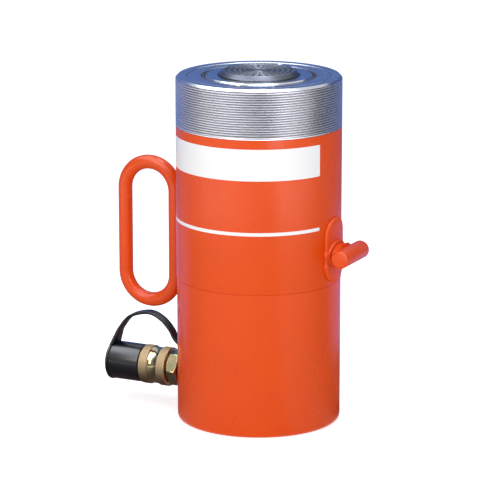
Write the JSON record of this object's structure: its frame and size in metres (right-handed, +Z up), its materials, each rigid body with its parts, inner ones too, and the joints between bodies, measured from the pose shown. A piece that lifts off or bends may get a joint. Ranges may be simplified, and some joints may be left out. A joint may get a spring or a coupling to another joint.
{
  "type": "hydraulic cylinder",
  "caption": "Round single-acting hydraulic cylinder with a threaded collar, swivel saddle, loop handle, grab bar, and a capped side coupler on a strap.",
  "frame": {"origin": "centre of the flat base", "axes": "+Z up the ram's axis, -X towards the carry handle and the coupler, +X towards the grab bar"},
  "size_m": [0.2442, 0.146, 0.3135],
  "materials": {
    "cylinder_body": "gloss orange enamel with a bare steel collar",
    "orange_fittings": "gloss orange enamel",
    "machined_steel": "turned and oiled",
    "plunger_steel": "hard chromed and ground",
    "dark_steel": "oiled, as made",
    "zinc_coupler": "yellow zinc plate",
    "bronze": "turned bearing bronze",
    "backup_plastic": "filled plastic",
    "seal_rubber": "nitrile rubber",
    "cap_rubber": "moulded black rubber"
  },
  "bodies": {
    "housing": {"cylinder_body": "cylinder_body", "gland_nut": "machined_steel", "rod_bearing": "bronze", "rod_wiper": "seal_rubber", "handle_pad": "orange_fittings", "carry_handle": "orange_fittings", "bar_pad": "orange_fittings", "bar_stem": "orange_fittings", "grab_bar": "orange_fittings", "spring_anchor_lower": "dark_steel", "spring_anchor_lower_screw": "dark_steel", "coupler_body": "zinc_coupler", "coupler_nose": "zinc_coupler", "check_seat": "machined_steel", "check_spring": "machined_steel", "socket_seal": "seal_rubber", "cap_strap": "cap_rubber"},
    "ram": {"piston_rod": "plunger_steel", "piston_bearing": "bronze", "piston_packing": "seal_rubber", "packing_backup_ring": "backup_plastic", "packing_retainer": "dark_steel", "return_spring": "dark_steel", "spring_anchor_upper": "dark_steel", "spring_anchor_upper_screw": "dark_steel"},
    "saddle": {"saddle": "machined_steel", "saddle_retaining_ring": "seal_rubber"},
    "sleeve": {"coupler_sleeve": "zinc_coupler"},
    "cap": {"dust_cap": "cap_rubber"},
    "check_ball": {"check_ball": "machined_steel"}
  },
  "joints": [
    {"name": "ram_slide", "type": "slide", "parent": "housing", "child": "ram", "axis": [0, 0, 1], "range_m": [0, 0.1556], "stiffness_N_per_m": 2500, "springref_m": -0.08, "deforming": ["return_spring"]},
    {"name": "saddle_swivel", "type": "hinge", "parent": "ram", "child": "saddle", "pos_m": [0, 0, 0.3093], "axis": [0, 0, 1], "continuous": true},
    {"name": "sleeve_spin", "type": "hinge", "parent": "housing", "child": "sleeve", "pos_m": [-0.1012, 0, 0.033], "axis": [-1, 0, 0], "continuous": true},
    {"name": "cap_pull", "type": "slide", "parent": "housing", "child": "cap", "axis": [-1, 0, 0], "range_m": [0, 0.027], "deforming": ["cap_strap"]},
    {"name": "check_ball_push", "type": "slide", "parent": "housing", "child": "check_ball", "axis": [1, 0, 0], "range_m": [0, 0.004], "stiffness_N_per_m": 400, "springref_m": -0.003, "deforming": ["check_spring"]}
  ]
}
